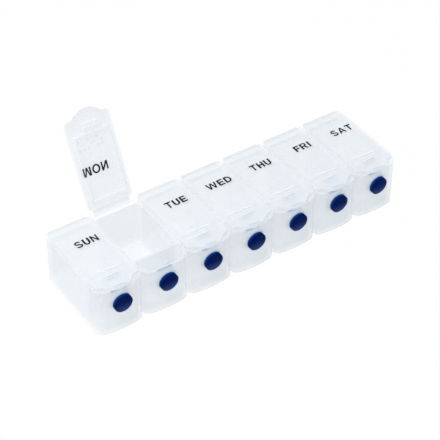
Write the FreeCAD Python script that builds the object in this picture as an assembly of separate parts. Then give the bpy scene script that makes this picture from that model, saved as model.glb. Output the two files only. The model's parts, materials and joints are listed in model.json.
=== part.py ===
"""Weekly pill organizer: seven cups in one tray, a hinged lid and a push button on each.

Millimetres.  +X runs from the first day to the last, +Y from the button side to the
hinge side, +Z up.  The origin is the middle of the flat base.
"""
import FreeCAD, Part
import math
import os

os.makedirs("parts", exist_ok=True)
V = FreeCAD.Vector

# ---- driving dimensions -------------------------------------------------------------
days = ["sun", "mon", "tue", "wed", "thu", "fri", "sat"]
open_day = "mon"            # the one lid that stands open at rest
open_angle = 118.0          # how far it stands open
pitch = 28.0                # from one cup's middle to the next
base_depth = 52.7           # front of the bowed fronts to the rear wall, at the base
total_height = 30.5         # base to the top of a closed lid
front_lean = 1.4            # how far the front face leans back over its height
bow_radius = 62.6           # plan radius of each cup's front
corner_radius = 5.2         # plan radius where a front turns into the groove between cups

wall = 1.4                  # front, rear and end walls
divider = 1.4               # wall between two cups
floor = 1.5
chamber_depth = 9.5         # room for the push button, front wall to partition
partition = 1.2             # wall between the button chamber and the pill compartment
chamber_corner = 7.5        # plan radius of the button chamber's front corners
pocket_corner = 2.5         # upright corners of the pill compartment
pocket_scoop = 5.0          # radius along the front and the rear of its floor

lid_thickness = 1.2
lid_gap = 0.5               # between two neighbouring lids
lid_seat_gap = 0.25         # lid's underside to the tray's rim
lid_rear_corner = 2.4
nose_overhang = 0.6         # the nose stands this far proud of the front face
nose_depth = 4.45           # nose tip to the lid's shoulders
nose_radius = 11.6          # convex tip of the nose
flare_radius = 4.3          # concave flare from the nose to the shoulder
droop_radius = 66.0         # the lid's front end curves down on this radius
droop_length = 12.6         # over this length, back from the nose tip

lid_rim_inset = 2.85        # lid's side edge to its locating rim
lid_rim_wall = 1.0
lid_rim_drop = 1.6          # how far the rim reaches below the lid's underside
lid_rim_corner = 1.5
lid_rim_clearance = 0.35    # rim to partition and to rear wall

rib_width = 9.0             # the two lift ribs under the nose
rib_thickness = 0.9
rib_drop = 2.4              # below the lid's flat underside
rib_pitch = 2.2
rib_setback = 0.85          # rear rib's back face to the partition

hinge_setback = 3.6         # rear wall's outer face to the hinge axis
hinge_below_top = 0.8       # lid's upper face down to the hinge axis
flange_reach = 2.1          # rear wall's outer face to the edge that the film grows from
flange_thickness = 1.2
flange_width = 25.6
flange_corner = 1.6
film_thickness = 0.4
film_length = 3.7           # developed length of the film between its two edges

button_radius = 5.35
button_height = 18.2        # base to the button's axis
button_proud = 1.9          # button's face in front of the wall
button_clearance = 0.2      # barrel to hole, all round
button_gap = 0.3            # collar to the wall's inner face
collar_half = 6.0           # the collar is a square plate
collar_bevel = 3.5          # with its corners cut off
collar_thickness = 0.9
boss_width = 5.0            # square boss on the collar's back that the leaf bears on
boss_depth = 3.1
tongue_width = 8.5          # upright tongue on the collar's back, below the lift ribs
tongue_thickness = 1.1
tongue_top = 25.6           # height of its front edge
tongue_fall = 0.8           # its top slopes down by this much towards the ribs

leaf_thickness = 0.6
leaf_height = 5.0
leaf_half_span = 8.5
leaf_crown = 3.0            # flat that bears on the boss
leaf_foot = 2.0             # flats that bear on the partition
leaf_gap = 0.1              # leaf to boss and to partition

spare = 1.0                 # cutting solids reach this far past what they cut

# ---- derived places -----------------------------------------------------------------
cups = len(days)
half_length = cups * pitch / 2
base_front = -base_depth / 2
rear_face = base_depth / 2
rim_height = total_height - lid_thickness - lid_seat_gap
top_front = base_front + front_lean
lean_angle = math.degrees(math.atan2(front_lean, rim_height))
partition_front = top_front + wall + chamber_depth
partition_rear = partition_front + partition
pocket_rear = rear_face - wall
pocket_half = (pitch - divider) / 2
chamber_back = partition_front + front_lean     # behind the partition, before the lean

lid_half = (pitch - lid_gap) / 2
lid_under = total_height - lid_thickness
nose_tip = top_front - nose_overhang
shoulder_y = nose_tip + nose_depth
droop_start = nose_tip + droop_length
high_above = 2 * total_height                   # safely above the shut organizer
hinge_y = rear_face + hinge_setback
hinge_z = total_height - hinge_below_top
film_edge = rear_face + flange_reach
film_width = flange_width - 2 * flange_corner
rear_rib = partition_front - rib_setback - rib_thickness
front_rib = rear_rib - rib_pitch


def cup_x(index):
    """Middle of a cup."""
    return (index - (cups - 1) / 2) * pitch


def face_y(z):
    """Front face at a height, in the middle of a cup."""
    return base_front + front_lean * z / rim_height


def block(x_low, x_high, y_low, y_high, z_low, z_high):
    """An upright block between two corners."""
    corner = V(x_low, y_low, z_low)
    return Part.makeBox(x_high - x_low, y_high - y_low, z_high - z_low, corner)


def rounded_block(half_width, y_low, y_high, z_low, z_high, radius):
    """A block about X = 0 with its four upright edges rounded."""
    solid = block(-half_width, half_width, y_low, y_high, z_low, z_high)
    upright = [e for e in solid.Edges if abs(e.tangentAt(e.FirstParameter).z) > 0.99]
    return solid.makeFillet(radius, upright)


def face(edges):
    """A closed run of edges, made into a face."""
    return Part.Face(Part.Wire(Part.__sortEdges__(edges)))


def prism(edges, direction):
    """A closed run of edges, made into a face and swept along a direction."""
    return face(edges).extrude(direction)


def line(a, b):
    return Part.makeLine(a, b)


def arc(centre, radius, start, end, z=0.0):
    """Plan arc from one angle to another, in degrees."""
    middle = (start + end) / 2
    spots = []
    for angle in (start, middle, end):
        turn = math.radians(angle)
        x = centre.x + radius * math.cos(turn)
        y = centre.y + radius * math.sin(turn)
        spots.append(V(x, y, z))
    return Part.Arc(*spots).toShape()


def front_edges(x_mid, y_front, half_width, bow, corner):
    """One bowed front in plan: corner, bow, corner.  Returns the edges and where they end."""
    reach = math.sqrt((bow - corner) ** 2 - (half_width - corner) ** 2)
    corner_y = y_front + bow - reach
    slant = math.degrees(math.atan2(reach, half_width - corner))
    left = V(x_mid - half_width + corner, corner_y, 0)
    right = V(x_mid + half_width - corner, corner_y, 0)
    edges = [
        arc(left, corner, 180, 180 + slant),
        arc(V(x_mid, y_front + bow, 0), bow, 180 + slant, 360 - slant),
        arc(right, corner, 360 - slant, 360),
    ]
    return edges, corner_y


def leaning(edges):
    """A tall prism on a plan outline, leaned back about the foot of the front face."""
    solid = prism(edges, V(0, 0, high_above))
    solid.translate(V(0, 0, -total_height / 2))
    solid.rotate(V(0, base_front, 0), V(1, 0, 0), -lean_angle)
    return solid


def body_block():
    """The tray's outer form: seven bowed fronts, which lean back, on one straight block."""
    edges = []
    for index in range(cups):
        front, corner_y = front_edges(
            cup_x(index), base_front, pitch / 2, bow_radius, corner_radius
        )
        edges += front
    left = V(-half_length, chamber_back, 0)
    right = V(half_length, chamber_back, 0)
    edges.append(line(V(-half_length, corner_y, 0), left))
    edges.append(line(left, right))
    edges.append(line(right, V(half_length, corner_y, 0)))
    reach = half_length + spare
    room = block(-reach, reach, base_front - spare, partition_front, 0, rim_height)
    rear = block(-half_length, half_length, partition_front, rear_face, 0, rim_height)
    return leaning(edges).common(room).fuse(rear).removeSplitter()


def chamber(x_mid):
    """The button's chamber: it follows the bowed front and is open at the top."""
    edges, corner_y = front_edges(
        x_mid, base_front + wall, pocket_half, bow_radius - wall, chamber_corner
    )
    left = V(x_mid - pocket_half, chamber_back, 0)
    right = V(x_mid + pocket_half, chamber_back, 0)
    edges.append(line(V(left.x, corner_y, 0), left))
    edges.append(line(left, right))
    edges.append(line(right, V(right.x, corner_y, 0)))
    room = block(
        x_mid - pitch, x_mid + pitch, base_front, partition_front, floor, total_height
    )
    return leaning(edges).common(room)


def pocket():
    """A pill compartment about X = 0: rounded in plan, with a scooped floor."""
    plan = rounded_block(
        pocket_half, partition_rear, pocket_rear, floor, total_height, pocket_corner
    )
    side = block(-pocket_half, pocket_half, partition_rear, pocket_rear, floor, high_above)
    low = [
        e for e in side.Edges
        if abs(e.BoundBox.ZMax - floor) < 1e-6 and e.BoundBox.XLength > pocket_half
    ]
    return plan.common(side.makeFillet(pocket_scoop, low))


def droop_profile(radius_cut, ceiling):
    """What lies above the lid's curved front end, as a side outline in the YZ plane."""
    far_y = nose_tip - spare
    radius = droop_radius - radius_cut
    centre_z = total_height - droop_radius
    start = V(0, droop_start, centre_z + radius)
    ends = []
    for y in ((droop_start + far_y) / 2, far_y):
        ends.append(V(0, y, centre_z + math.sqrt(radius**2 - (droop_start - y) ** 2)))
    top_far = V(0, far_y, ceiling)
    top_start = V(0, droop_start, ceiling)
    return [
        Part.Arc(start, ends[0], ends[1]).toShape(),
        line(ends[1], top_far),
        line(top_far, top_start),
        line(top_start, start),
    ]


def flange(x_mid):
    """The lip along a cup's rear wall that its hinge film grows from."""
    half = flange_width / 2
    low = rim_height - flange_thickness
    solid = block(-half, half, rear_face - wall / 2, film_edge, low, rim_height)
    outer = [
        e for e in solid.Edges
        if abs(e.tangentAt(e.FirstParameter).z) > 0.99 and e.BoundBox.YMin > rear_face
    ]
    solid = solid.makeFillet(flange_corner, outer)
    return solid.translated(V(x_mid, 0, 0))


def tray():
    """One moulding: cups, dividers, partition, button holes and hinge lips."""
    solid = body_block()
    cuts = []
    room = pocket()
    hole_front = base_front - spare
    hole_length = partition_front - hole_front
    for index in range(cups):
        x_mid = cup_x(index)
        cuts.append(chamber(x_mid))
        cuts.append(room.translated(V(x_mid, 0, 0)))
        cuts.append(
            Part.makeCylinder(
                button_radius + button_clearance,
                hole_length,
                V(x_mid, hole_front, button_height),
                V(0, 1, 0),
            )
        )
    reach = half_length + spare
    profile = droop_profile(lid_thickness + lid_seat_gap, total_height)
    seat = prism(profile, V(2 * reach, 0, 0))
    seat.translate(V(-reach, 0, 0))
    cuts.append(seat)
    solid = solid.cut(cuts)
    return solid.fuse([flange(cup_x(i)) for i in range(cups)]).removeSplitter()


def lid_plan():
    """The lid's outline from above: rounded rear corners, round shoulders, a bell nose."""
    run = nose_radius + flare_radius
    flare_x = math.sqrt(run**2 - (run - nose_depth) ** 2)
    tip_centre = V(0, nose_tip + nose_radius, 0)
    flare_y = shoulder_y - flare_radius
    swing = math.degrees(math.atan2(tip_centre.y - flare_y, flare_x))
    shoulder_radius = lid_half - flare_x
    round_y = shoulder_y + shoulder_radius
    rear_y = film_edge - lid_rear_corner
    rear_x = lid_half - lid_rear_corner
    edges = [arc(tip_centre, nose_radius, 180 + swing, 360 - swing)]
    for sign in (-1, 1):
        if sign > 0:
            edges.append(arc(V(flare_x, flare_y, 0), flare_radius, 180 - swing, 90))
            edges.append(arc(V(flare_x, round_y, 0), shoulder_radius, 270, 360))
            edges.append(arc(V(rear_x, rear_y, 0), lid_rear_corner, 0, 90))
        else:
            edges.append(arc(V(-flare_x, flare_y, 0), flare_radius, 90, swing))
            edges.append(arc(V(-flare_x, round_y, 0), shoulder_radius, 180, 270))
            edges.append(arc(V(-rear_x, rear_y, 0), lid_rear_corner, 90, 180))
        side_x = sign * lid_half
        edges.append(line(V(side_x, round_y, 0), V(side_x, rear_y, 0)))
    edges.append(line(V(-rear_x, film_edge, 0), V(rear_x, film_edge, 0)))
    return edges


def lid_plate():
    """The flat plate, which curves down at its front end and keeps its thickness there."""
    plate = prism(lid_plan(), V(0, 0, high_above))
    plate.translate(V(0, 0, lid_under - lid_thickness - droop_length))
    layers = []
    for cut, flat_z in ((0, total_height), (lid_thickness, lid_under)):
        above_droop = prism(droop_profile(cut, high_above), V(2 * pitch, 0, 0))
        above_flat = block(0, 2 * pitch, droop_start, hinge_y, flat_z, high_above)
        layers.append(above_droop.fuse(above_flat))
    slab = layers[1].cut(layers[0])
    slab.translate(V(-pitch, 0, 0))
    return plate.common(slab).removeSplitter()


def lid_rim():
    """The rim under the plate that drops into the pill compartment and centres the lid."""
    half = lid_half - lid_rim_inset
    front = partition_rear + lid_rim_clearance
    rear = pocket_rear - lid_rim_clearance
    low = lid_under - lid_rim_drop
    inner = half - lid_rim_wall
    inner_front = front + lid_rim_wall
    inner_rear = rear - lid_rim_wall
    outer = rounded_block(half, front, rear, low, lid_under, lid_rim_corner)
    return outer.cut(block(-inner, inner, inner_front, inner_rear, low, lid_under))


def lid_closed():
    """A shut lid about X = 0: plate, rim and the two ribs under its nose."""
    half = rib_width / 2
    low = lid_under - rib_drop
    ribs = [
        block(-half, half, y, y + rib_thickness, low, lid_under)
        for y in (front_rib, rear_rib)
    ]
    return lid_plate().fuse([lid_rim()] + ribs).removeSplitter()


def film(opened):
    """The thin strip that joins a lid to its lip, bent as the lid's angle asks.

    In side view it is a straight, an arc and a straight, of one developed length."""
    turn = math.radians(180 - opened)
    lid_mid = V(0, film_edge - hinge_y, lid_under + lid_thickness / 2 - hinge_z)
    swing = math.radians(opened)
    end_y = hinge_y + lid_mid.y * math.cos(swing) + lid_mid.z * math.sin(swing)
    end_z = hinge_z - lid_mid.y * math.sin(swing) + lid_mid.z * math.cos(swing)
    start_z = rim_height - flange_thickness / 2
    run_y = end_y - film_edge
    run_z = end_z - start_z
    # start + radius * sin + end * cos = run_y, radius * (1 - cos) + end * sin = run_z,
    # start + radius * turn + end = film_length
    a = turn - math.sin(turn)
    b = 1 - math.cos(turn)
    c = math.sin(turn)
    rest = film_length - run_y
    scale = a * c - b * b
    radius = (rest * c - run_z * b) / scale
    end = (a * run_z - b * rest) / scale
    start = film_length - radius * turn - end
    half = film_thickness / 2
    along = V(0, math.cos(turn), math.sin(turn))
    edges = []
    ends = []
    for side in (half, -half):
        first = V(0, film_edge, start_z - side)
        bend = V(0, film_edge + start, start_z - side)
        centre = V(0, film_edge + start, start_z + radius)
        size = radius + side
        spots = []
        for share in (0.5, 1.0):
            angle = turn * share
            spots.append(centre + V(0, size * math.sin(angle), -size * math.cos(angle)))
        last = spots[1] + along * end
        edges += [
            line(first, bend),
            Part.Arc(bend, spots[0], spots[1]).toShape(),
            line(spots[1], last),
        ]
        ends.append((first, last))
    edges.append(line(ends[0][0], ends[1][0]))
    edges.append(line(ends[0][1], ends[1][1]))
    strip = prism(edges, V(film_width, 0, 0))
    strip.translate(V(-film_width / 2, 0, 0))
    return strip


def collar_front():
    """The collar sits behind the bowed, leaning wall without touching it."""
    sagitta = bow_radius - math.sqrt(bow_radius**2 - collar_half**2)
    return face_y(button_height + collar_half) + wall + sagitta + button_gap


def boss_back():
    return collar_front() + collar_thickness + boss_depth


def button():
    """A push button about X = 0: barrel, collar, boss and tongue."""
    tip_y = face_y(button_height) - button_proud
    front = collar_front()
    back = front + collar_thickness
    tip = V(0, tip_y, button_height)
    barrel = Part.makeCylinder(button_radius, front - tip_y, tip, V(0, 1, 0))
    side = collar_half
    collar = block(
        -side, side, front, back, button_height - side, button_height + side
    )
    deep = [e for e in collar.Edges if abs(e.tangentAt(e.FirstParameter).y) > 0.99]
    collar = collar.makeChamfer(collar_bevel, deep)

    half = boss_width / 2
    high = button_height + half
    boss = block(-half, half, back, boss_back(), button_height - half, high)
    tongue_back = back + tongue_thickness
    corners = [
        V(0, back, button_height),
        V(0, tongue_back, button_height),
        V(0, tongue_back, tongue_top - tongue_fall),
        V(0, back, tongue_top),
    ]
    outline = Part.makePolygon(corners + corners[:1]).Edges
    tongue = prism(outline, V(tongue_width, 0, 0))
    tongue.translate(V(-tongue_width / 2, 0, 0))
    return barrel.fuse([collar, boss, tongue]).removeSplitter()


def leaf():
    """The bent leaf about X = 0 that pushes the button out again."""
    front = boss_back() + leaf_gap
    rear = partition_front - leaf_gap
    z_low = button_height - leaf_height / 2
    crown = leaf_crown / 2
    foot = leaf_half_span - leaf_foot
    bends = [
        (-leaf_half_span, rear),
        (-foot, rear),
        (-crown, front + leaf_thickness),
        (crown, front + leaf_thickness),
        (foot, rear),
        (leaf_half_span, rear),
        (leaf_half_span, rear - leaf_thickness),
        (foot, rear - leaf_thickness),
        (crown, front),
        (-crown, front),
        (-foot, rear - leaf_thickness),
        (-leaf_half_span, rear - leaf_thickness),
    ]
    points = [V(x, y, z_low) for x, y in bends]
    return prism(Part.makePolygon(points + points[:1]).Edges, V(0, 0, leaf_height))


def save(shape, name):
    shape.exportStep("parts/" + name + ".step")


save(tray(), "tray")
shut_lid = lid_closed()
hinge_point = V(0, hinge_y, hinge_z)
for index, day in enumerate(days):
    place = V(cup_x(index), 0, 0)
    opened = open_angle if day == open_day else 0.0
    lid = shut_lid.copy()
    lid.rotate(hinge_point, V(-1, 0, 0), opened)
    lid.translate(place)
    save(lid, "lid_" + day)
    save(film(opened).translated(place), "hinge_film_" + day)
    save(button().translated(place), "button_" + day)
    save(leaf().translated(place), "return_leaf_" + day)
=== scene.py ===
"""Looks of the weekly pill organizer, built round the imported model, in metres."""
import json
import math

import bmesh
import bpy
from mathutils import Matrix, Vector
from mathutils.geometry import tessellate_polygon


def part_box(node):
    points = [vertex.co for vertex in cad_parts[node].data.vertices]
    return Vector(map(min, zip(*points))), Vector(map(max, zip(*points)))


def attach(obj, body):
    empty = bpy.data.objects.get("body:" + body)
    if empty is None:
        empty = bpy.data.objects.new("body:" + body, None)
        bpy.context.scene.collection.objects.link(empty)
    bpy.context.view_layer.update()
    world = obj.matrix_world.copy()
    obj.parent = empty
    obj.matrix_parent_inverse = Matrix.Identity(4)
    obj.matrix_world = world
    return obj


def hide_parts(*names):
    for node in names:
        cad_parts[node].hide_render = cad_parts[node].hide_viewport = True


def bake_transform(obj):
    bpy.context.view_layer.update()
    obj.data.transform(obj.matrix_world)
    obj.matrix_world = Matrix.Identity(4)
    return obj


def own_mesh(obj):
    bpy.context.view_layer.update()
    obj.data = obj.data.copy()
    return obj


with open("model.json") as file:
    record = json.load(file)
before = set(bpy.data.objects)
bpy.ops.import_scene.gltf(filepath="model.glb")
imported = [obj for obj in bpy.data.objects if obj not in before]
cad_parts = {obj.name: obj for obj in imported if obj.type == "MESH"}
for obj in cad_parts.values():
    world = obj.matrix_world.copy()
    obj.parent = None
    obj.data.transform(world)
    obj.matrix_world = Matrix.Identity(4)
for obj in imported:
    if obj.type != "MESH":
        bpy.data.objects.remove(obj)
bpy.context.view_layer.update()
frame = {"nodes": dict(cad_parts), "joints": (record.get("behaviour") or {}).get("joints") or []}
nodes = frame["nodes"]
joints = {joint["name"]: joint for joint in frame["joints"]}

# ---- the days and their joints ---------------------------------------------------------
DAYS = ["sun", "mon", "tue", "wed", "thu", "fri", "sat"]
PITCH = joints["lid_hinge_mon"]["pos_m"][0] - joints["lid_hinge_sun"]["pos_m"][0]
OPEN_DAY = "mon"                # its lid stands open at rest
OPEN_ANGLE = -joints["lid_hinge_" + OPEN_DAY]["range_deg"][0]

SIDEWAYS = Vector((1.0, 0.0, 0.0))
BACKWARD = Vector((0.0, 1.0, 0.0))
UPWARD = Vector((0.0, 0.0, 1.0))

# ---- print and raised dots, in metres --------------------------------------------------
LID_THICKNESS = 0.0012
LETTER_HEIGHT = 0.0049          # height of the day's capitals
LETTER_GAP = 0.16               # between letters, and like the next two a share of that height
STEM = 0.24
BAR = 0.2
INK_RAISE = 0.00004
OPEN_TOP_SHIFT = (0.00054, 0.00036)  # on the open lid the upper print hides behind the lower one
PRINT_PLACES = {                # middle of the print: off the lid's middle, before the hinge axis
    "sun": (0.0016, 0.0180), "mon": (-0.0031, 0.0222), "tue": (0.0017, 0.0175),
    "wed": (0.0020, 0.0172), "thu": (0.0021, 0.0171), "fri": (0.0032, 0.0169),
    "sat": (0.0031, 0.0173),
}

DOT_RADIUS = 0.00075
DOT_HEIGHT = 0.0003
DOT_SINK = 0.00002              # its open foot lies this far below the lid's upper face
DOT_PITCH = 0.0024
CELL_PITCH = 0.0057
DOTS_SHIFT = -0.0012
DOTS_FROM_HINGE = 0.0360
LETTER_DOTS = {                 # 1 2 3 down the left of a cell, 4 5 6 down its right
    "a": "1", "d": "145", "e": "15", "f": "124", "h": "125", "i": "24", "m": "134",
    "n": "1345", "o": "135", "r": "1235", "s": "234", "t": "2345", "u": "136", "w": "2456",
}

# ---- moving plastic, in metres ---------------------------------------------------------
FILM_STEPS = 10                 # a hinge film is cut into this many strips so that it can bend

BUTTON_RADIUS = 0.00535
BUTTON_AXIS = 0.0182            # height of the button's axis
BUTTON_CROWN = 0.0002           # the middle of the face stands this far before its rim
BUTTON_EDGE = 0.0002            # to which the rounding of the rim adds this
BUTTON_ROUND_FROM = 0.86        # share of the radius at which the rounding starts
BUTTON_RINGS = (0.97, 0.94, 0.9, 0.86, 0.7, 0.5, 0.3)   # shares of the radius, from the rim in
WELD_WITHIN = 0.000001          # corners this near to each other are one
FLAT_WITHIN = 0.00001           # and this near in depth they are on the same flat face
SMOOTH_UP_TO = 35.0             # degrees between faces that are shaded as one

# ---- frosted plastic -------------------------------------------------------------------
# A cover is the share of what lies behind a face that the face hides.
TRAY_TINTS = ((0.962, 0.978, 0.996), (0.967, 0.982, 0.998))
LID_TINTS = ((0.89, 0.908, 0.932), (0.898, 0.915, 0.938))
# painted light: the open lid is drawn lighter than the shut lids, for how each is lit; all lids are
# one plastic
OPEN_LID_LIT_TINTS = ((0.945, 0.962, 0.985), (0.951, 0.967, 0.989))
# painted shade: the open lid's dots are drawn grey, as they look from below through the plate
OPEN_DOT_SHADED_TINTS = ((0.66, 0.71, 0.76), (0.7, 0.75, 0.8))
TRAY_COVER = 0.32
LID_COVER = 0.46
FILM_COVER = 0.40
DOT_COVER = 0.12
OPEN_DOT_COVER = 0.6
COVER_CHANGE = 0.02             # how far the clouds take it either way
SCATTER_PASSES = 0.7            # share of the cover that shadow and diffuse rays don't meet
TRAY_ROUGHNESS = 0.39
LID_ROUGHNESS = 0.28
ROUGHNESS_CHANGE = 0.05
PLASTIC_IOR = 1.49

# Squareness is 1 on a plate's flat faces and 0 on its edges.
TRAY_FLOOR_COVER = 0.2          # the tray's thick floor hides this much more than its walls
TRAY_FLOOR_HEIGHTS = (0.0024, 0.0029)   # up to the first height, and nowhere from the second
FLAT_FACING = (0.7, 0.9)        # squareness at which that begins, and from which it is full
EDGE_COVER = 0.3                # a lid's edges and ribs hide this much more than its flat faces
EDGE_FACING = (0.5, 0.9)        # squareness up to which that is full, and at which it ends
EDGE_ACROSS = (0.0128, 0.0004)  # its reach from the middle and soft end: the long sides are thin
SIDE_SHARE = 0.58               # and hide this share of what the flat faces do
# painted highlight colour for the lids' edges and lift ribs
HIGHLIGHT_WHITE = (1.0, 1.0, 1.0)

# painted shade: bluish lines on a shut lid, for the shade under its nose and the blue button seen
# through it
PAINTED_STREAK_BLUE = (0.50, 0.68, 0.86)
STREAK_END = 0.002              # softness of a line's ends
NOSE_STREAKS = (                # left and right end, their places along a lid, half width, share
    (-0.0045, 0.0045, -0.0234, -0.0246, 0.0009, 1.0),
    (-0.0040, 0.0046, -0.0168, -0.0166, 0.0008, 0.7),
)
# painted highlights: the lid is drawn white along these lines
NOSE_GLEAMS = (                 # the lift ribs catch the light through the lid
    (-0.0077, 0.0075, -0.0103, -0.0120, 0.0008, 0.6),
    (-0.0098, 0.0074, -0.0137, -0.0136, 0.0007, 0.5),
    (-0.0108, 0.0030, -0.0152, -0.0160, 0.0007, 0.6),
)
GLEAM_COVER = 0.35

CLEAR_SHARE = 0.1               # share of the cover left where the open lid's rim is clear
CLEAR_BELOW = (-0.0006, -0.0003)            # from the hinge axis, square to the open lid
CLEAR_FORWARD = (0.0220, 0.0045, 0.0012)    # middle, reach and soft end, from the hinge axis
CLEAR_ACROSS = (-0.0100, 0.0022, 0.0004)    # the same, from the lid's middle

# ---- button plastic and ink ------------------------------------------------------------
NAVY_TINTS = ((0.0008, 0.0085, 0.086), (0.0012, 0.011, 0.098))
# painted reflection of the white floor, paler towards the button's foot
FLOOR_REFLECTION_BLUE = (0.038, 0.08, 0.24)
# painted highlight on the barrel by the wall
PAINTED_LIT_BLUE = (0.003, 0.045, 0.24)
# painted light: behind the front wall the button is drawn paler and bluer, as the frosted wall's
# scattered light shows it
PAINTED_HAZE_BLUE = (0.08, 0.42, 0.90)
SEEN_THROUGH_TIP_BLUE = (0.0, 0.33, 0.80)
PAINTED_HAZE_PALE = (0.94, 0.96, 0.97)
# Looks that fade with height, in radii above the axis: full up to the first, gone at the second.
FLOOR_REFLECTION_FADE = (-1.0, 0.25)
FLOOR_REFLECTION_POWER = 1.5
LOWER_FADE = (-0.4, 0.3)        # painted haze: the lower barrel is drawn in the wall's pale tone as well
# Looks that begin at the first value and are full from the second.
PAINTED_LIT_DEPTHS = (-0.0266, -0.0260)     # painted highlight: here the barrel catches light from the wall
HAZE_DEPTHS = (-0.0250, -0.0245)    # painted haze: behind the wall the blue is drawn light, as the frosted wall's scattered light shows it
COLLAR_DEPTHS = (-0.0242, -0.0240)  # painted haze: all of it is drawn in the wall's pale tone
BEYOND_FACE = (1.0, 1.03)           # and so is what lies this many radii from the axis
TIP_HEIGHTS = (0.0242, 0.0244)      # but the tip of the tongue is painted bright blue, as it shows through the frosted wall
SHADED_CROWN = 0.0003           # what the face's shading adds to its crown and rounding
SHADED_EDGE = 0.0001
BUTTON_ROUGHNESS = (0.24, 0.36)
BUTTON_IOR = 1.5
BUTTON_SPECULAR = 0.015

INK_TINTS = ((0.006, 0.007, 0.009), (0.012, 0.013, 0.016))
INK_ROUGHNESS = (0.42, 0.6)
INK_SPECULAR = 0.15

# ---- noise: (scale per metre, detail), and its bumps: (strength, height in metres) -----
PLASTIC_CLOUDS = (35.0, 3.0)
COVER_CLOUDS = (80.0, 3.0)
PLASTIC_WAVES = (55.0, 2.0)
PLASTIC_GRAIN = (2600.0, 2.0)
BUTTON_CLOUDS = (90.0, 3.0)
BUTTON_WAVES = (140.0, 2.0)
BUTTON_GRAIN = (3200.0, 2.0)
INK_BLOTCHES = (900.0, 2.0)
INK_GRAIN = (5200.0, 3.0)
PLASTIC_WAVE_BUMP = (0.03, 0.0004)
PLASTIC_GRAIN_BUMP = (0.02, 0.00002)
BUTTON_WAVE_BUMP = (0.05, 0.0003)
BUTTON_GRAIN_BUMP = (0.05, 0.00004)
INK_GRAIN_BUMP = (0.2, 0.00002)

# ---- stage, light and camera, in metres and degrees ------------------------------------
STAGE_SIZE = 8.0
STAGE_DROP = 0.0001             # the floor lies this far below the tray
STAGE_COLOUR = (0.76, 0.775, 0.8)
STAGE_ROUGHNESS = 0.9
STAGE_WHITE = 0.98              # share of plain white in what background rays see of the floor
WORLD_COLOUR = (0.935, 0.972, 1.0)
WORLD_STRENGTH = 0.73
KEY_PLACE = Vector((-0.45, 0.02, 0.9))
KEY_AIM = Vector((0.0, 0.0, 0.01))
KEY_SIZE = 0.8
KEY_POWER = 3.8

CAMERA_AZIMUTH = -35.88
CAMERA_ELEVATION = 41.77
CAMERA_ROLL = 1.69
CAMERA_DISTANCE = 0.7797
CAMERA_SIDE = -0.0186           # the view's centre, sideways and up from the aim point
CAMERA_RISE = 0.0243
CAMERA_AIM = Vector((0.0, -0.02495, 0.0))
CAMERA_NEAR = 0.05
LENS = 117.42                   # millimetres, like the sensor
SENSOR = 36.0


def hinge_point(day):
    """Where the axis of a lid's hinge passes the middle of its day."""
    return Vector(joints["lid_hinge_" + day]["pos_m"])


def put(name, data):
    """Makes an object of its data and puts it into the scene."""
    made = bpy.data.objects.new(name, data)
    bpy.context.scene.collection.objects.link(made)
    return made


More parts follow.
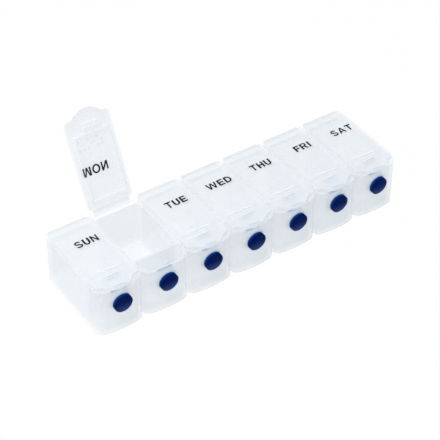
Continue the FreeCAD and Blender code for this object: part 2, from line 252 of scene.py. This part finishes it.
# ---- materials -------------------------------------------------------------------------
class Material:
    """A node material that is put together one node at a time."""

    def __init__(self, name):
        self.data = bpy.data.materials.new(name)
        self.data.use_nodes = True
        self.tree = self.data.node_tree
        self.shader = self.tree.nodes["Principled BSDF"]
        self.sources = self.add("ShaderNodeTexCoord").outputs

    def add(self, kind, **settings):
        node = self.tree.nodes.new(kind)
        for key, value in settings.items():
            setattr(node, key, value)
        return node

    def link(self, source, target):
        self.tree.links.new(source, target)

    def set(self, **values):
        for key, value in values.items():
            self.shader.inputs[key.replace("_", " ")].default_value = value

    def drive(self, name, source):
        """Leads the output of a node to a socket of the shader."""
        self.link(source, self.shader.inputs[name])

    def noise(self, scale, detail):
        node = self.add("ShaderNodeTexNoise")
        node.inputs["Scale"].default_value = scale
        node.inputs["Detail"].default_value = detail
        self.link(self.sources["Object"], node.inputs["Vector"])
        return node.outputs["Fac"]

    def math(self, operation, *values):
        node = self.add("ShaderNodeMath", operation=operation)
        for socket, value in zip(node.inputs, values):
            if isinstance(value, float):
                socket.default_value = value
            else:
                self.link(value, socket)
        return node.outputs[0]

    def times(self, first, *others):
        """The product of several values."""
        for other in others:
            first = self.math("MULTIPLY", first, other)
        return first

    def spread(self, value, low, high, from_low=0.3, from_high=0.7):
        """Takes one range to another and stops at its ends; noise lies mostly in 0.3 to 0.7."""
        node = self.add("ShaderNodeMapRange")
        node.inputs["From Min"].default_value = from_low
        node.inputs["From Max"].default_value = from_high
        node.inputs["To Min"].default_value = low
        node.inputs["To Max"].default_value = high
        self.link(value, node.inputs["Value"])
        return node.outputs["Result"]

    def rise(self, value, start, end):
        """Nothing up to the start, and one from the end on."""
        return self.spread(value, 0.0, 1.0, start, end)

    def fall(self, value, start, end):
        """One up to the start, and nothing from the end on."""
        return self.spread(value, 1.0, 0.0, start, end)

    def dot(self, source, direction):
        node = self.add("ShaderNodeVectorMath", operation="DOT_PRODUCT")
        self.link(source, node.inputs[0])
        node.inputs[1].default_value = direction
        return node.outputs["Value"]

    def along(self, direction, start=Vector()):
        """How far the surface lies from a start, measured along a direction."""
        reach = self.dot(self.sources["Object"], direction)
        return self.math("SUBTRACT", reach, direction.dot(start))

    def across(self):
        """How far the surface lies sideways from the middle of its own day."""
        return self.math("WRAP", self.along(SIDEWAYS), PITCH / 2, -PITCH / 2)

    def within(self, value, middle, reach, soft):
        """One near the middle of a range, falling to nothing at its reach."""
        off = self.math("ABSOLUTE", self.math("SUBTRACT", value, middle))
        return self.fall(off, reach - soft, reach)

    def streak(self, across, left, right, y_left, y_right, width, strength):
        """A soft line over a lid, from its left end to its right end."""
        slope = (y_right - y_left) / (right - left)
        level = self.math("MULTIPLY", across, -slope)
        level = self.math("ADD", level, self.along(BACKWARD))
        near = self.within(level, y_left - slope * left, width, width)
        length = self.within(across, (left + right) / 2, (right - left) / 2, STREAK_END)
        return self.times(near, length, strength)

    def tint(self, value, dark, light):
        """A colour between two others, each a colour or the output of a node."""
        node = self.add("ShaderNodeMix", data_type="RGBA")
        for name, colour in (("A", dark), ("B", light)):
            if isinstance(colour, tuple):
                node.inputs[name].default_value = (*colour, 1.0)
            else:
                self.link(colour, node.inputs[name])
        self.link(value, node.inputs["Factor"])
        return node.outputs["Result"]

    def bump(self, *layers):
        """Layers of (height, strength, distance in metres), the coarsest first."""
        normal = None
        for height, strength, distance in layers:
            node = self.add("ShaderNodeBump")
            node.inputs["Strength"].default_value = strength
            node.inputs["Distance"].default_value = distance
            self.link(height, node.inputs["Height"])
            if normal is not None:
                self.link(normal, node.inputs["Normal"])
            normal = node.outputs["Normal"]
        self.drive("Normal", normal)


class Frosted(Material):
    """Milky moulded polypropylene: each face covers only a part of what lies behind it.

    A lid's plastic is given the angle in degrees by which the lid stands open."""

    def __init__(self, name, tints, cover, roughness, angle=0.0):
        super().__init__(name)
        self.colour = self.tint(self.spread(self.noise(*PLASTIC_CLOUDS), 0.0, 1.0), *tints)
        clouds = self.noise(*COVER_CLOUDS)
        self.cover = self.spread(clouds, cover - COVER_CHANGE, cover + COVER_CHANGE)
        swing = math.radians(angle)
        self.up = Vector((0.0, math.sin(swing), math.cos(swing)))
        self.forward = Vector((0.0, -math.cos(swing), math.sin(swing)))

        grain = self.noise(*PLASTIC_GRAIN)
        satin = self.spread(grain, roughness - ROUGHNESS_CHANGE, roughness + ROUGHNESS_CHANGE)
        self.drive("Roughness", satin)
        waves = self.noise(*PLASTIC_WAVES)
        self.bump((waves, *PLASTIC_WAVE_BUMP), (grain, *PLASTIC_GRAIN_BUMP))
        self.set(IOR=PLASTIC_IOR)

    def squareness(self):
        """One on a plate's flat faces, and nothing on its edges."""
        return self.math("ABSOLUTE", self.dot(self.sources["Normal"], self.up))

    def thicken(self, share, more):
        """Lets the plastic hide this much more where the share is one."""
        self.cover = self.math("ADD", self.cover, self.math("MULTIPLY", share, more))

    def thick_floor(self):
        """The tray's floor is denser on its flat faces, which look up and down."""
        base = self.fall(self.along(self.up), *TRAY_FLOOR_HEIGHTS)
        flat = self.rise(self.squareness(), *FLAT_FACING)
        self.thicken(self.times(base, flat), TRAY_FLOOR_COVER)

    def edges_with_painted_highlight(self):
        """A lid's edges and ribs are drawn whiter, a painted highlight, and denser than its faces,
        its long sides thinner.
        """
        edge = self.fall(self.squareness(), *EDGE_FACING)
        inner = self.within(self.across(), 0.0, *EDGE_ACROSS)
        # painted highlight: the edges are drawn white
        self.colour = self.tint(edge, self.colour, HIGHLIGHT_WHITE)
        self.thicken(self.times(edge, inner), EDGE_COVER)
        self.cover = self.times(self.cover, self.spread(inner, SIDE_SHARE, 1.0, 0.0, 1.0))

    def painted_nose_lines(self):
        """Painted on a shut lid: bluish lines for the shade under its nose and the button seen
        through it, and white highlights where its lift ribs catch the light.
        """
        across = self.across()
        for line in NOSE_STREAKS:
            # painted shade and the button seen through the lid, as bluish lines
            self.colour = self.tint(self.streak(across, *line), self.colour, PAINTED_STREAK_BLUE)
        for line in NOSE_GLEAMS:
            share = self.streak(across, *line)
            # painted highlights of the lift ribs
            self.colour = self.tint(share, self.colour, HIGHLIGHT_WHITE)
            self.thicken(share, GLEAM_COVER)

    def clear_before_print(self):
        """Where the open lid's rim stands before its print, it is nearly clear."""
        pivot = hinge_point(OPEN_DAY)
        below = self.fall(self.along(self.up, pivot), *CLEAR_BELOW)
        window = self.within(self.along(self.forward, pivot), *CLEAR_FORWARD)
        side = self.within(self.across(), *CLEAR_ACROSS)
        clear = self.times(below, window, side)
        self.cover = self.times(self.cover, self.spread(clear, 1.0, CLEAR_SHARE, 0.0, 1.0))

    def finished(self):
        """The complete material; scattered light passes it more easily than sight does."""
        rays = self.add("ShaderNodeLightPath").outputs
        scattered = self.math("MAXIMUM", rays["Is Shadow Ray"], rays["Is Diffuse Ray"])
        met = self.math("SUBTRACT", 1.0, self.math("MULTIPLY", scattered, SCATTER_PASSES))
        self.drive("Base Color", self.colour)
        self.drive("Alpha", self.times(self.cover, met))
        return self.data


def tray_plastic():
    made = Frosted("frosted_tray", TRAY_TINTS, TRAY_COVER, TRAY_ROUGHNESS)
    made.thick_floor()
    return made.finished()


def lid_plastic():
    made = Frosted("frosted_lid", LID_TINTS, LID_COVER, LID_ROUGHNESS)
    made.edges_with_painted_highlight()
    made.painted_nose_lines()
    return made.finished()


def open_lid_plastic():
    made = Frosted("frosted_open_lid", OPEN_LID_LIT_TINTS, LID_COVER, LID_ROUGHNESS, OPEN_ANGLE)
    made.edges_with_painted_highlight()
    made.clear_before_print()
    return made.finished()


def plain_plastic(name, tints, cover):
    """Lid plastic with nothing but its tints and cover, for films and raised dots."""
    return Frosted(name, tints, cover, LID_ROUGHNESS).finished()


def button_plastic():
    """Navy plastic with a crowned face, a painted reflection of the white floor towards its foot
    and a painted highlight on its edge by the wall; behind the wall it is painted paler and bluer,
    as the frosted wall's scattered light shows it.
    """
    made = Material("navy_button")
    depth = made.along(BACKWARD)
    height = made.along(UPWARD)
    across = made.math("DIVIDE", made.across(), BUTTON_RADIUS)
    climb = made.math("DIVIDE", made.math("SUBTRACT", height, BUTTON_AXIS), BUTTON_RADIUS)
    square = made.math("ADD", made.math("POWER", across, 2.0), made.math("POWER", climb, 2.0))
    share = made.math("SQRT", square)
    crown = made.math("MULTIPLY", square, -1.0)
    rim = made.math("POWER", made.rise(share, BUTTON_ROUND_FROM, 1.0), 2.0)
    rounding = made.math("MULTIPLY", rim, -1.0)

    clouds = made.spread(made.noise(*BUTTON_CLOUDS), 0.0, 1.0)
    # painted reflection of the white floor: paler towards the button's foot
    foot = made.math("POWER", made.fall(climb, *FLOOR_REFLECTION_FADE), FLOOR_REFLECTION_POWER)
    colour = made.tint(foot, made.tint(clouds, *NAVY_TINTS), FLOOR_REFLECTION_BLUE)
    # painted highlight on the barrel by the wall
    colour = made.tint(made.rise(depth, *PAINTED_LIT_DEPTHS), colour, PAINTED_LIT_BLUE)
    # painted haze: behind the wall the colours turn paler and bluer, as the frosted wall's
    # scattered light shows them
    inward = made.rise(depth, *HAZE_DEPTHS)
    colour = made.tint(inward, colour, PAINTED_HAZE_BLUE)
    inner = made.math(
        "MAXIMUM", made.rise(share, *BEYOND_FACE), made.rise(depth, *COLLAR_DEPTHS)
    )
    inner = made.math("MAXIMUM", inner, made.fall(climb, *LOWER_FADE))
    colour = made.tint(made.times(inward, inner), colour, PAINTED_HAZE_PALE)
    colour = made.tint(made.rise(height, *TIP_HEIGHTS), colour, SEEN_THROUGH_TIP_BLUE)
    made.drive("Base Color", colour)

    grain = made.noise(*BUTTON_GRAIN)
    made.drive("Roughness", made.spread(grain, *BUTTON_ROUGHNESS))
    made.bump(
        (crown, 1.0, SHADED_CROWN), (rounding, 1.0, SHADED_EDGE),
        (made.noise(*BUTTON_WAVES), *BUTTON_WAVE_BUMP), (grain, *BUTTON_GRAIN_BUMP),
    )
    made.set(IOR=BUTTON_IOR, Specular_IOR_Level=BUTTON_SPECULAR)
    return made.data


def print_ink():
    made = Material("black_ink")
    grain = made.noise(*INK_GRAIN)
    made.drive("Base Color", made.tint(made.spread(grain, 0.0, 1.0), *INK_TINTS))
    made.drive("Roughness", made.spread(made.noise(*INK_BLOTCHES), *INK_ROUGHNESS))
    made.bump((grain, *INK_GRAIN_BUMP))
    made.set(Specular_IOR_Level=INK_SPECULAR)
    return made.data


TRAY_PLASTIC = tray_plastic()
LID_PLASTIC = lid_plastic()
OPEN_LID_PLASTIC = open_lid_plastic()
FILM_PLASTIC = plain_plastic("frosted_film", LID_TINTS, FILM_COVER)
DOT_PLASTIC = plain_plastic("frosted_dots", LID_TINTS, DOT_COVER)
OPEN_DOT_PLASTIC = plain_plastic("frosted_open_dots", OPEN_DOT_SHADED_TINTS, OPEN_DOT_COVER)
BUTTON_PLASTIC = button_plastic()
INK = print_ink()


def wear(piece, material):
    """Gives a piece one material."""
    piece.data.materials.clear()
    piece.data.materials.append(material)


wear(nodes["tray"], TRAY_PLASTIC)
for day in DAYS:
    wear(nodes["lid_" + day], OPEN_LID_PLASTIC if day == OPEN_DAY else LID_PLASTIC)


# ---- lid print and raised dots ---------------------------------------------------------
def onto_lid(day, piece):
    """Turns a piece that was made for a shut lid with the lid, if it stands open at rest."""
    if day == OPEN_DAY:
        pivot = hinge_point(day)
        turn = Matrix.Rotation(math.radians(OPEN_ANGLE), 4, -SIDEWAYS)
        piece.data.transform(Matrix.Translation(pivot) @ turn @ Matrix.Translation(-pivot))
    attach(piece, "lid_" + day)


def lid_top():
    """Height of a shut lid's upper face."""
    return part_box("lid_sun")[1].z


def fresh(name, mesh):
    """Makes an object of a finished bmesh."""
    data = bpy.data.meshes.new(name)
    mesh.to_mesh(data)
    mesh.free()
    return put(name, data)


def arc(x, y, across, up, start, end, steps=10):
    """Points of an ellipse about (x, y), from one angle in degrees to another."""
    points = []
    for step in range(steps + 1):
        angle = math.radians(start + (end - start) * step / steps)
        points.append((x + across * math.cos(angle), y + up * math.sin(angle)))
    return points


def ring(x, y, across, up, count=40):
    """Points all the way round an ellipse."""
    return arc(x, y, across, up, 0, 360 - 360 / count, count - 1)


def stroke(spine, width):
    """The outline of a line of even width."""
    left, right = [], []
    for index, (x, y) in enumerate(spine):
        ahead = spine[min(index + 1, len(spine) - 1)]
        behind = spine[max(index - 1, 0)]
        run, climb = ahead[0] - behind[0], ahead[1] - behind[1]
        span = math.hypot(run, climb)
        dx, dy = -climb / span * width / 2, run / span * width / 2
        left.append((x + dx, y + dy))
        right.append((x - dx, y - dy))
    return left + right[::-1]


def letters():
    """Plain bold capitals as (width, outlines); an outline inside another is a hole."""
    s, b = STEM, BAR
    low, high = 0.5 - b / 2, 0.5 + b / 2
    curl = arc(0.41, 0.72, 0.30, 0.195, 15, 245) + arc(0.43, 0.28, 0.31, 0.195, 65, -165)
    return {
        "A": (0.98, [
            [(0, 0), (0.22, 0), (0.3, 0.23), (0.68, 0.23), (0.76, 0), (0.98, 0), (0.6, 1),
             (0.38, 1)],
            [(0.36, 0.39), (0.49, 0.75), (0.62, 0.39)],
        ]),
        "D": (0.84, [
            [(0, 0)] + arc(0.36, 0.5, 0.48, 0.5, -90, 90) + [(0, 1)],
            [(s, b)] + arc(0.36, 0.5, 0.27, 0.5 - b, -90, 90) + [(s, 1 - b)],
        ]),
        "E": (0.75, [
            [(0, 0), (0.75, 0), (0.75, b), (s, b), (s, low), (0.7, low), (0.7, high), (s, high),
             (s, 1 - b), (0.73, 1 - b), (0.73, 1), (0, 1)],
        ]),
        "F": (0.7, [
            [(0, 0), (s, 0), (s, low), (0.66, low), (0.66, high), (s, high), (s, 1 - b),
             (0.7, 1 - b), (0.7, 1), (0, 1)],
        ]),
        "H": (0.8, [
            [(0, 0), (s, 0), (s, low), (0.8 - s, low), (0.8 - s, 0), (0.8, 0), (0.8, 1),
             (0.8 - s, 1), (0.8 - s, high), (s, high), (s, 1), (0, 1)],
        ]),
        "I": (s, [[(0, 0), (s, 0), (s, 1), (0, 1)]]),
        "M": (0.96, [
            [(0, 0), (0.19, 0), (0.19, 0.78), (0.39, 0), (0.57, 0), (0.77, 0.78), (0.77, 0),
             (0.96, 0), (0.96, 1), (0.67, 1), (0.48, 0.3), (0.29, 1), (0, 1)],
        ]),
        "N": (0.8, [
            [(0, 0), (0.19, 0), (0.19, 0.66), (0.59, 0), (0.8, 0), (0.8, 1), (0.61, 1),
             (0.61, 0.34), (0.21, 1), (0, 1)],
        ]),
        "O": (0.98, [ring(0.49, 0.5, 0.49, 0.515), ring(0.49, 0.5, 0.28, 0.345)]),
        "R": (0.88, [
            [(0, 0), (s, 0), (s, 0.4), (0.31, 0.4), (0.41, 0.33), (0.63, 0), (0.88, 0), (0.7, 0.29),
             (0.6, 0.41)] + arc(0.52, 0.71, 0.31, 0.29, -65, 90) + [(0, 1)],
            [(s, 0.56)] + arc(0.5, 0.7, 0.11, 0.14, -90, 90) + [(s, 0.84)],
        ]),
        "S": (0.82, [stroke(curl, 0.19)]),
        "T": (0.8, [
            [(0.3, 0), (0.5, 0), (0.5, 1 - b), (0.8, 1 - b), (0.8, 1), (0, 1), (0, 1 - b),
             (0.3, 1 - b)],
        ]),
        "U": (0.8, [
            [(0, 1)] + arc(0.4, 0.38, 0.4, 0.395, 180, 360) + [(0.8, 1), (0.8 - s, 1)]
            + arc(0.4, 0.38, 0.4 - s, 0.22, 360, 180) + [(s, 1)],
        ]),
        "W": (1.3, [
            [(0, 1), (0.24, 0), (0.44, 0), (0.65, 0.72), (0.86, 0), (1.06, 0), (1.3, 1),
             (1.09, 1), (0.95, 0.32), (0.75, 1), (0.55, 1), (0.35, 0.32), (0.21, 1)],
        ]),
    }


LETTERS = letters()


def day_print(day):
    """The day's three capitals on the lid's upper face, and under it where the lid stands open."""
    shift, reach = PRINT_PLACES[day]
    pivot = hinge_point(day)
    width = sum(LETTERS[letter][0] for letter in day.upper()) + LETTER_GAP * (len(day) - 1)
    left = pivot.x + shift - width / 2 * LETTER_HEIGHT
    front = pivot.y - reach - LETTER_HEIGHT / 2
    layers = [Vector((left, front, lid_top() + INK_RAISE))]
    if day == OPEN_DAY:
        layers[0] += Vector((*OPEN_TOP_SHIFT, 0.0))
        layers.append(Vector((left, front, lid_top() - LID_THICKNESS - INK_RAISE)))
    mesh = bmesh.new()
    for corner in layers:
        for letter in day.upper():
            advance, outlines = LETTERS[letter]
            loops = [[Vector((px, py, 0.0)) for px, py in outline] for outline in outlines]
            corners = []
            for loop in loops:
                for point in loop:
                    corners.append(mesh.verts.new(corner + point * LETTER_HEIGHT))
            for triangle in tessellate_polygon(loops):
                mesh.faces.new([corners[index] for index in triangle])
            corner.x += (advance + LETTER_GAP) * LETTER_HEIGHT
    bmesh.ops.recalc_face_normals(mesh, faces=mesh.faces)
    piece = fresh("day_print_" + day, mesh)
    wear(piece, INK)  # the record has no ink of its own
    onto_lid(day, piece)


def dome(mesh, centre, radius, height, rings=3, steps=12):
    """Adds a low round dot, open beneath, to a bmesh."""
    ball = (radius**2 + height**2) / (2 * height)
    edge = math.asin(radius / ball)
    rows = []
    for ring in range(1, rings + 1):
        angle = edge * ring / rings
        row = []
        for step in range(steps):
            turn = 2 * math.pi * step / steps
            flat = ball * math.sin(angle)
            rise = height - ball * (1 - math.cos(angle))
            offset = Vector((flat * math.cos(turn), flat * math.sin(turn), rise))
            row.append(mesh.verts.new(centre + offset))
        rows.append(row)
    top = mesh.verts.new(centre + Vector((0, 0, height)))
    for step in range(steps):
        after = (step + 1) % steps
        mesh.faces.new((top, rows[0][step], rows[0][after]))
        for inner, outer in zip(rows, rows[1:]):
            mesh.faces.new((inner[step], outer[step], outer[after], inner[after]))


def raised_dots(day):
    """The day's three letters in raised dots, in front of the print."""
    mesh = bmesh.new()
    pivot = hinge_point(day)
    for place, letter in enumerate(day):
        for dot in LETTER_DOTS[letter]:
            column, row = divmod(int(dot) - 1, 3)
            x = pivot.x + DOTS_SHIFT + (place - 1) * CELL_PITCH + (column - 0.5) * DOT_PITCH
            y = pivot.y - DOTS_FROM_HINGE - (row - 1) * DOT_PITCH
            dome(mesh, Vector((x, y, lid_top() - DOT_SINK)), DOT_RADIUS, DOT_HEIGHT)
    piece = fresh("raised_dots_" + day, mesh)
    piece.data.shade_smooth()
    wear(piece, OPEN_DOT_PLASTIC if day == OPEN_DAY else DOT_PLASTIC)
    onto_lid(day, piece)


for day in DAYS:
    day_print(day)
    raised_dots(day)


# ---- copies of CAD nodes that bend or are shaped further -------------------------------
def twin(node_name, piece_name, material):
    """A copy of a CAD node that can be shaped further, and stands in its place."""
    node = nodes[node_name]
    data = node.data.copy()
    data.transform(node.matrix_world)
    piece = put(piece_name, data)
    wear(piece, material)
    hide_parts(node_name)
    return piece


def slice_along(piece, start, end, count):
    """Cuts a piece's mesh across at even steps, so that it can bend."""
    mesh = bmesh.new()
    mesh.from_mesh(piece.data)
    for step in range(1, count):
        bmesh.ops.bisect_plane(
            mesh,
            geom=mesh.verts[:] + mesh.edges[:] + mesh.faces[:],
            plane_co=start.lerp(end, step / count),
            plane_no=end - start,
        )
    mesh.to_mesh(piece.data)
    mesh.free()


def bending_film(day):
    """The living hinge, cut into strips along its length between the tray and its lid."""
    low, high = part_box("hinge_film_" + day)
    film = twin("hinge_film_" + day, "bending_film_" + day, FILM_PLASTIC)
    middle = (low.x + high.x) / 2
    start = Vector((middle, low.y, low.z))
    end = Vector((middle, high.y if day == OPEN_DAY else low.y, high.z))
    slice_along(film, start, end, FILM_STEPS)
    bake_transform(film)


def springy_leaf(day):
    """The return leaf, on the tray with a mesh of its own; its button presses it against the
    partition.
    """
    leaf = twin("return_leaf_" + day, "springy_leaf_" + day, TRAY_PLASTIC)
    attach(leaf, "tray")
    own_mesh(leaf)


def face_depth(share):
    """How far a button's face lies behind its middle, at a share of its radius."""
    rounding = max(0.0, (share - BUTTON_ROUND_FROM) / (1.0 - BUTTON_ROUND_FROM))
    return BUTTON_CROWN * share**2 + BUTTON_EDGE * rounding**2


def dome_face(piece, centre):
    """Makes the flat front of a button a low dome with a rounded rim."""
    mesh = bmesh.new()
    mesh.from_mesh(piece.data)
    bmesh.ops.remove_doubles(mesh, verts=mesh.verts, dist=WELD_WITHIN)
    front = min(corner.co.y for corner in mesh.verts)

    def in_front(corner):
        return corner.co.y < front + FLAT_WITHIN

    def turn(corner):
        return math.atan2(corner.co.z - centre.z, corner.co.x - centre.x)

    flat = [face for face in mesh.faces if all(map(in_front, face.verts))]
    bmesh.ops.delete(mesh, geom=flat, context="FACES")
    outer = sorted(filter(in_front, mesh.verts), key=turn)
    rim = [corner.co.copy() for corner in outer]
    for corner in outer:
        corner.co.y = front + face_depth(1.0)
    for share in BUTTON_RINGS:
        inner = []
        for place in rim:
            spot = centre.lerp(place, share)
            spot.y = front + face_depth(share)
            inner.append(mesh.verts.new(spot))
        for step in range(len(outer)):
            after = (step + 1) % len(outer)
            mesh.faces.new((outer[step], outer[after], inner[after], inner[step]))
        outer = inner
    top = mesh.verts.new((centre.x, front, centre.z))
    for step in range(len(outer)):
        mesh.faces.new((outer[step], outer[(step + 1) % len(outer)], top))
    bmesh.ops.recalc_face_normals(mesh, faces=mesh.faces)
    mesh.to_mesh(piece.data)
    mesh.free()
    piece.data.shade_smooth()
    piece.data.set_sharp_from_angle(angle=math.radians(SMOOTH_UP_TO))


def domed_button(day):
    """The push button with its domed face, on its own body."""
    button = twin("button_" + day, "domed_button_" + day, BUTTON_PLASTIC)
    dome_face(button, Vector((hinge_point(day).x, 0.0, BUTTON_AXIS)))
    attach(button, "button_" + day)


for day in DAYS:
    bending_film(day)
    springy_leaf(day)
for day in DAYS:
    domed_button(day)


# ---- stage, light and camera -----------------------------------------------------------
def background_rays(tree):
    """One for the rays that show the background itself: straight, mirrored or through glass."""
    rays = tree.nodes.new("ShaderNodeLightPath")
    found = rays.outputs["Is Camera Ray"]
    for kind in ("Is Glossy Ray", "Is Transmission Ray"):
        either = tree.nodes.new("ShaderNodeMath")
        either.operation = "MAXIMUM"
        tree.links.new(found, either.inputs[0])
        tree.links.new(rays.outputs[kind], either.inputs[1])
        found = either.outputs[0]
    return found


def mixed(tree, share, first, second):
    """Two shaders mixed, with more of the second where the share is high."""
    mix = tree.nodes.new("ShaderNodeMixShader")
    for source, target in zip((share, first.outputs[0], second.outputs[0]), mix.inputs):
        tree.links.new(source, target)
    return mix.outputs[0]


def white_stage():
    """A plain white floor that keeps the object's soft shadow."""
    made = Material("white_floor")
    made.set(Base_Color=(*STAGE_COLOUR, 1.0), Roughness=STAGE_ROUGHNESS)
    share = made.math("MULTIPLY", background_rays(made.tree), STAGE_WHITE)
    glow = made.add("ShaderNodeEmission")
    glow.inputs["Strength"].default_value = 1.0
    output = made.tree.nodes["Material Output"]
    made.link(mixed(made.tree, share, made.shader, glow), output.inputs["Surface"])
    bpy.ops.mesh.primitive_plane_add(size=STAGE_SIZE, location=(0, 0, -STAGE_DROP))
    floor = bpy.context.object
    floor.name = "floor"
    floor.data.materials.append(made.data)


def surroundings():
    """A bluish room light; the background that it shows is plain white."""
    world = bpy.data.worlds.new("studio")
    bpy.context.scene.world = world
    world.use_nodes = True
    tree = world.node_tree
    shade = tree.nodes["Background"]
    shade.inputs["Color"].default_value = (*WORLD_COLOUR, 1.0)
    shade.inputs["Strength"].default_value = WORLD_STRENGTH
    white = tree.nodes.new("ShaderNodeBackground")
    white.inputs["Strength"].default_value = 1.0
    output = tree.nodes["World Output"]
    tree.links.new(mixed(tree, background_rays(tree), shade, white), output.inputs["Surface"])


def key_light():
    lamp = bpy.data.lights.new("key", "AREA")
    lamp.shape = "DISK"
    lamp.size = KEY_SIZE
    lamp.energy = KEY_POWER
    made = put("key", lamp)
    made.location = KEY_PLACE
    made.rotation_mode = "QUATERNION"
    made.rotation_quaternion = (KEY_AIM - KEY_PLACE).to_track_quat("-Z", "Y")


def camera():
    """The camera looks down on the row from its first day's side."""
    azimuth = math.radians(CAMERA_AZIMUTH)
    elevation = math.radians(CAMERA_ELEVATION)
    roll = math.radians(CAMERA_ROLL)
    back = Vector((
        math.sin(azimuth) * math.cos(elevation),
        -math.cos(azimuth) * math.cos(elevation),
        math.sin(elevation),
    ))
    level = Vector((math.cos(azimuth), math.sin(azimuth), 0.0))
    rise = back.cross(level)
    right = level * math.cos(roll) + rise * math.sin(roll)
    upward = rise * math.cos(roll) - level * math.sin(roll)
    data = bpy.data.cameras.new("camera")
    data.lens = LENS
    data.sensor_width = SENSOR
    data.clip_start = CAMERA_NEAR
    made = put("camera", data)
    place = CAMERA_AIM + right * CAMERA_SIDE + upward * CAMERA_RISE + back * CAMERA_DISTANCE
    turn = Matrix((right, upward, back)).transposed().to_4x4()
    made.matrix_world = Matrix.Translation(place) @ turn
    bpy.context.scene.camera = made


def ray_depths():
    """A view along the row goes through many thin walls, and so does the light."""
    cycles = bpy.context.scene.cycles
    cycles.transparent_max_bounces = 32
    cycles.max_bounces = 24
    cycles.diffuse_bounces = 12


white_stage()
surroundings()
key_light()
camera()
ray_depths()
bpy.context.scene.view_settings.view_transform = "Standard"
